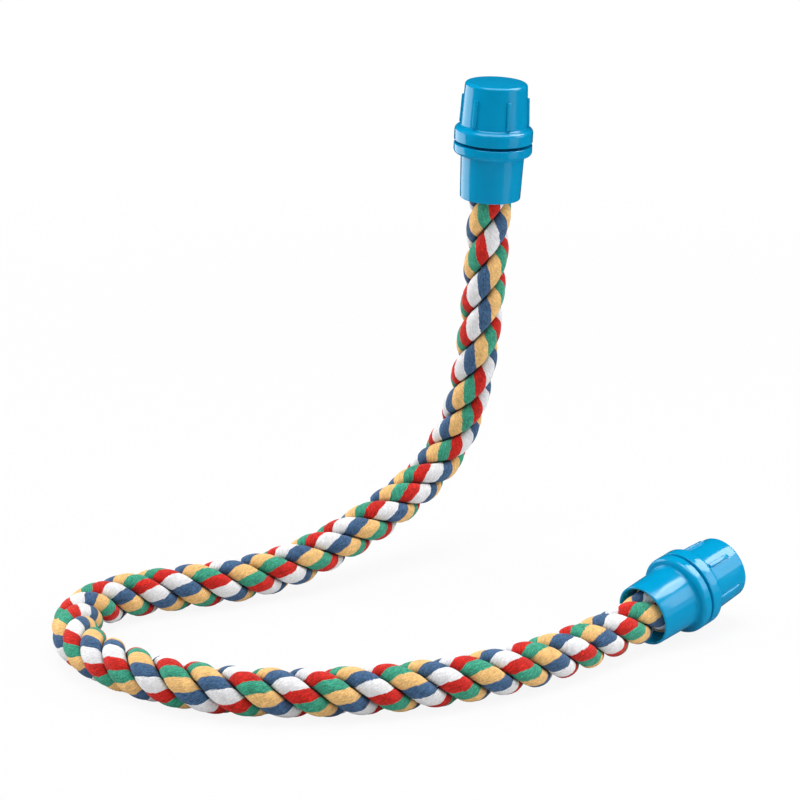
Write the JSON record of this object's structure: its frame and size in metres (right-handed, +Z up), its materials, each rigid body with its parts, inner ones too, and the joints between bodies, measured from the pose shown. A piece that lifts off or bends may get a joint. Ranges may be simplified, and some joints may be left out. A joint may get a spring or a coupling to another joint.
{
  "type": "bird perch",
  "caption": "Bendable laid-rope bird perch with a wire core and screw caps at both ends that clamp onto a cage's wires.",
  "frame": {"origin": "on the floor under the middle of the bent perch's bounding box, as it lies in the picture", "axes": "+X to the viewer's right along the longest side of the U, +Y away from the viewer, +Z up"},
  "size_m": [0.2398, 0.1676, 0.1817],
  "materials": {
    "dyed_cotton": "laid cotton yarn, dyed in blue, white, red, green and tan",
    "core_steel": "drawn soft wire",
    "blue_plastic": "glossy moulded, cyan blue",
    "wrap_tape": "creped tape",
    "hot_glue": "set hot-melt glue"
  },
  "bodies": {
    "perch": {"rope_strand_1": "dyed_cotton", "rope_strand_2": "dyed_cotton", "rope_strand_3": "dyed_cotton", "core_wire": "core_steel", "upper_end_cup": "blue_plastic", "upper_end_tape": "wrap_tape", "upper_glue_plug": "hot_glue", "lower_end_cup": "blue_plastic", "lower_end_tape": "wrap_tape", "lower_glue_plug": "hot_glue"},
    "upper_cap": {"upper_screw_cap": "blue_plastic"},
    "lower_cap": {"lower_screw_cap": "blue_plastic"}
  },
  "joints": [
    {"name": "upper_cap_slide", "type": "slide", "parent": "perch", "child": "upper_cap", "axis": [0.0436, -0.0452, 0.998], "range_m": [-0.0009, 0.018]},
    {"name": "lower_cap_slide", "type": "slide", "parent": "perch", "child": "lower_cap", "axis": [0.7275, 0.662, 0.1805], "range_m": [-0.0009, 0.018]}
  ]
}
